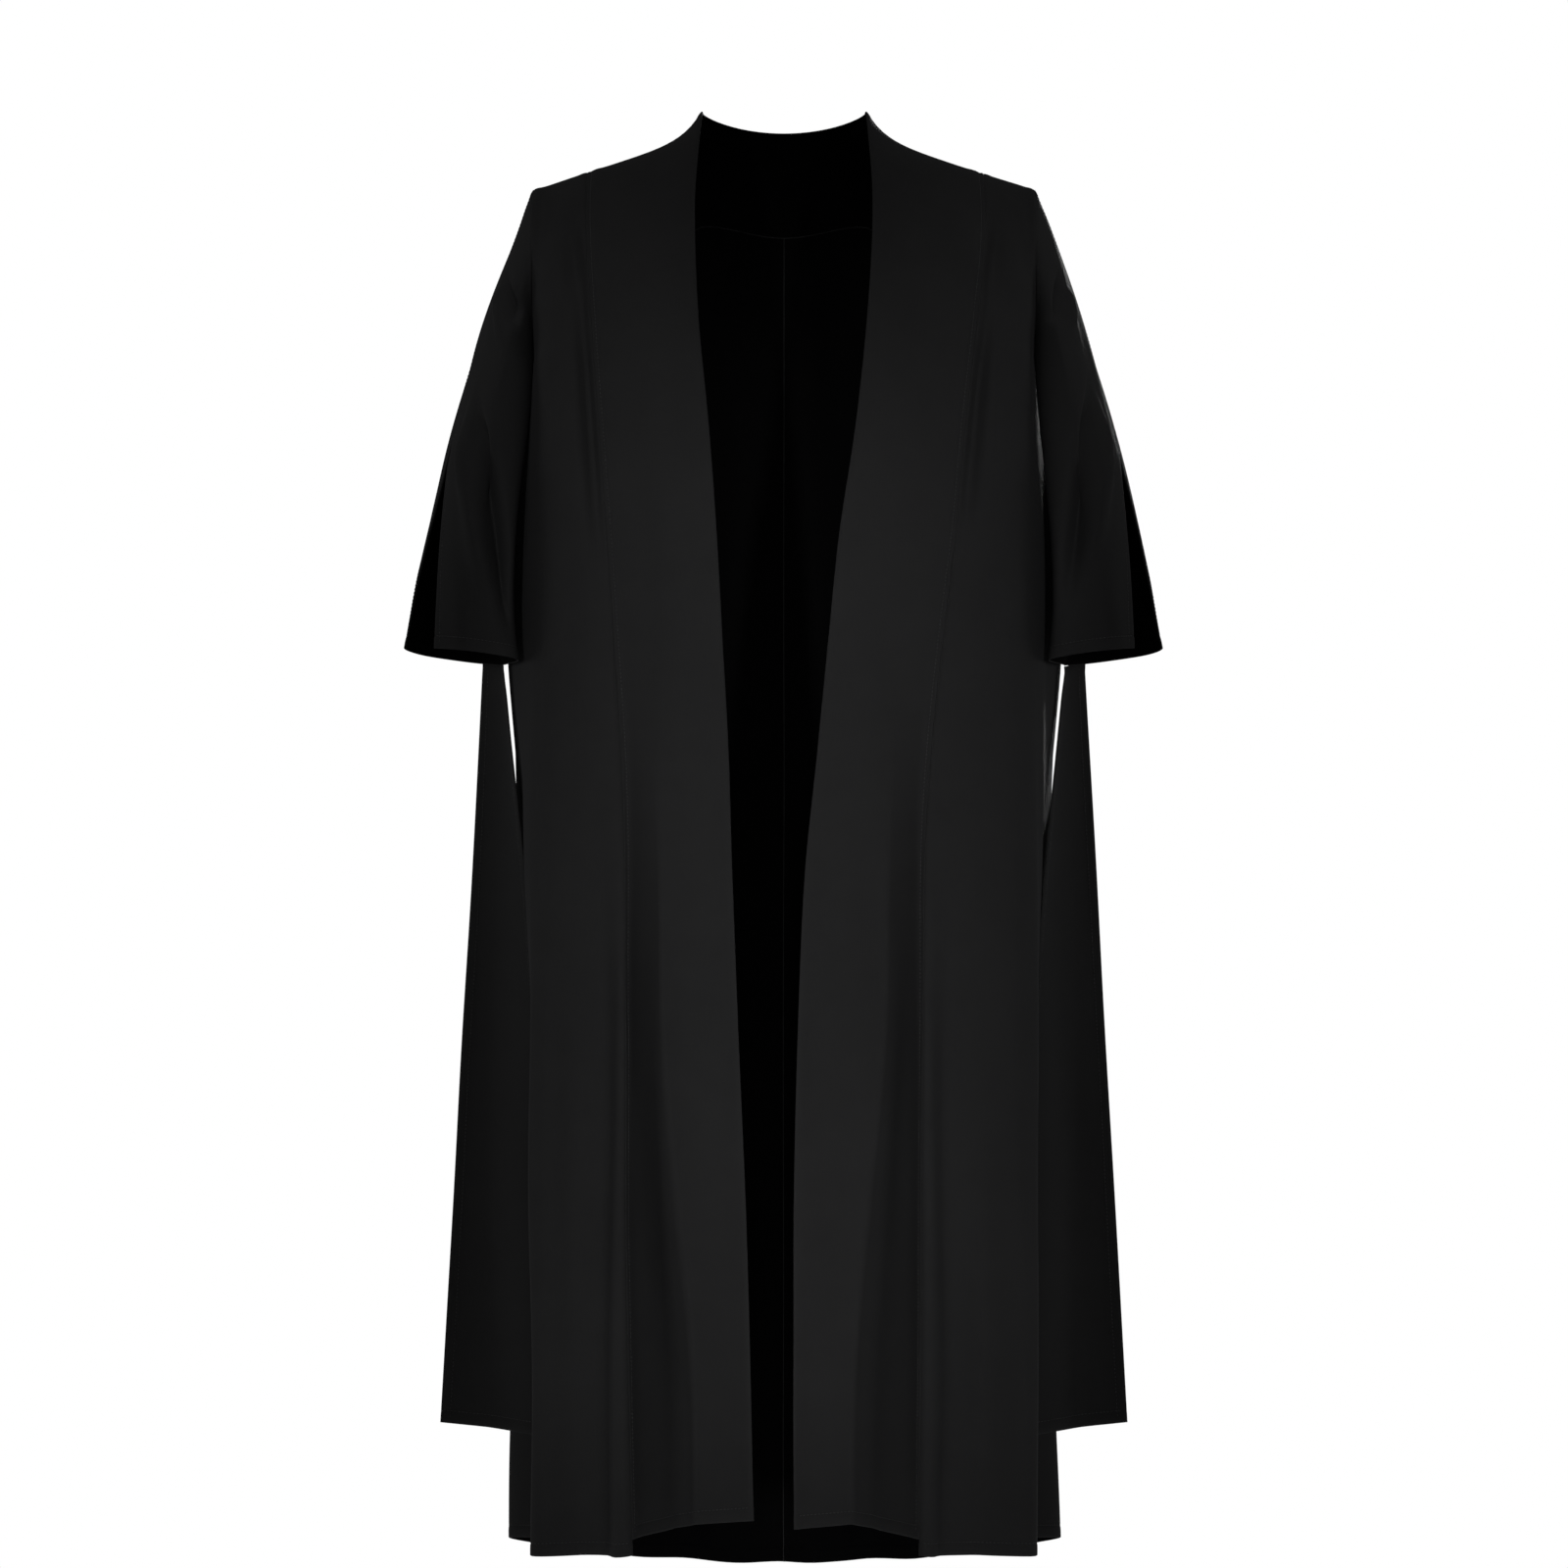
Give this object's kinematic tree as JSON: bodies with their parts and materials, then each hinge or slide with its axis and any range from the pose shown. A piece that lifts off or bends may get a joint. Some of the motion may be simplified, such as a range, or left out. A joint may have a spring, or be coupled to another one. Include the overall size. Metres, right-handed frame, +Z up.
{
  "type": "usher gown",
  "caption": "Open-fronted full-length cloth gown in worn, hollow form, with wide front bands, elbow-length slit sleeves and long panels hanging behind them.",
  "frame": {"origin": "midway between the two highest points of the neckline, level with them, where the wearer's neck and shoulders hold the gown", "axes": "+Z up, -Y the open front, +X the wearer's left"},
  "size_m": [0.7086, 0.4174, 1.3801],
  "materials": {
    "black_cloth": "matte plain-woven black cloth"
  },
  "bodies": {
    "root": {"back_yoke": "black_cloth", "back_skirt_right": "black_cloth", "back_skirt_left": "black_cloth", "front_band_right": "black_cloth", "front_band_left": "black_cloth", "front_panel_right": "black_cloth", "front_panel_left": "black_cloth", "sleeve_front_right": "black_cloth", "sleeve_front_left": "black_cloth", "sleeve_back_right": "black_cloth", "sleeve_back_left": "black_cloth", "hanging_panel_right": "black_cloth", "hanging_panel_left": "black_cloth"}
  },
  "joints": []
}
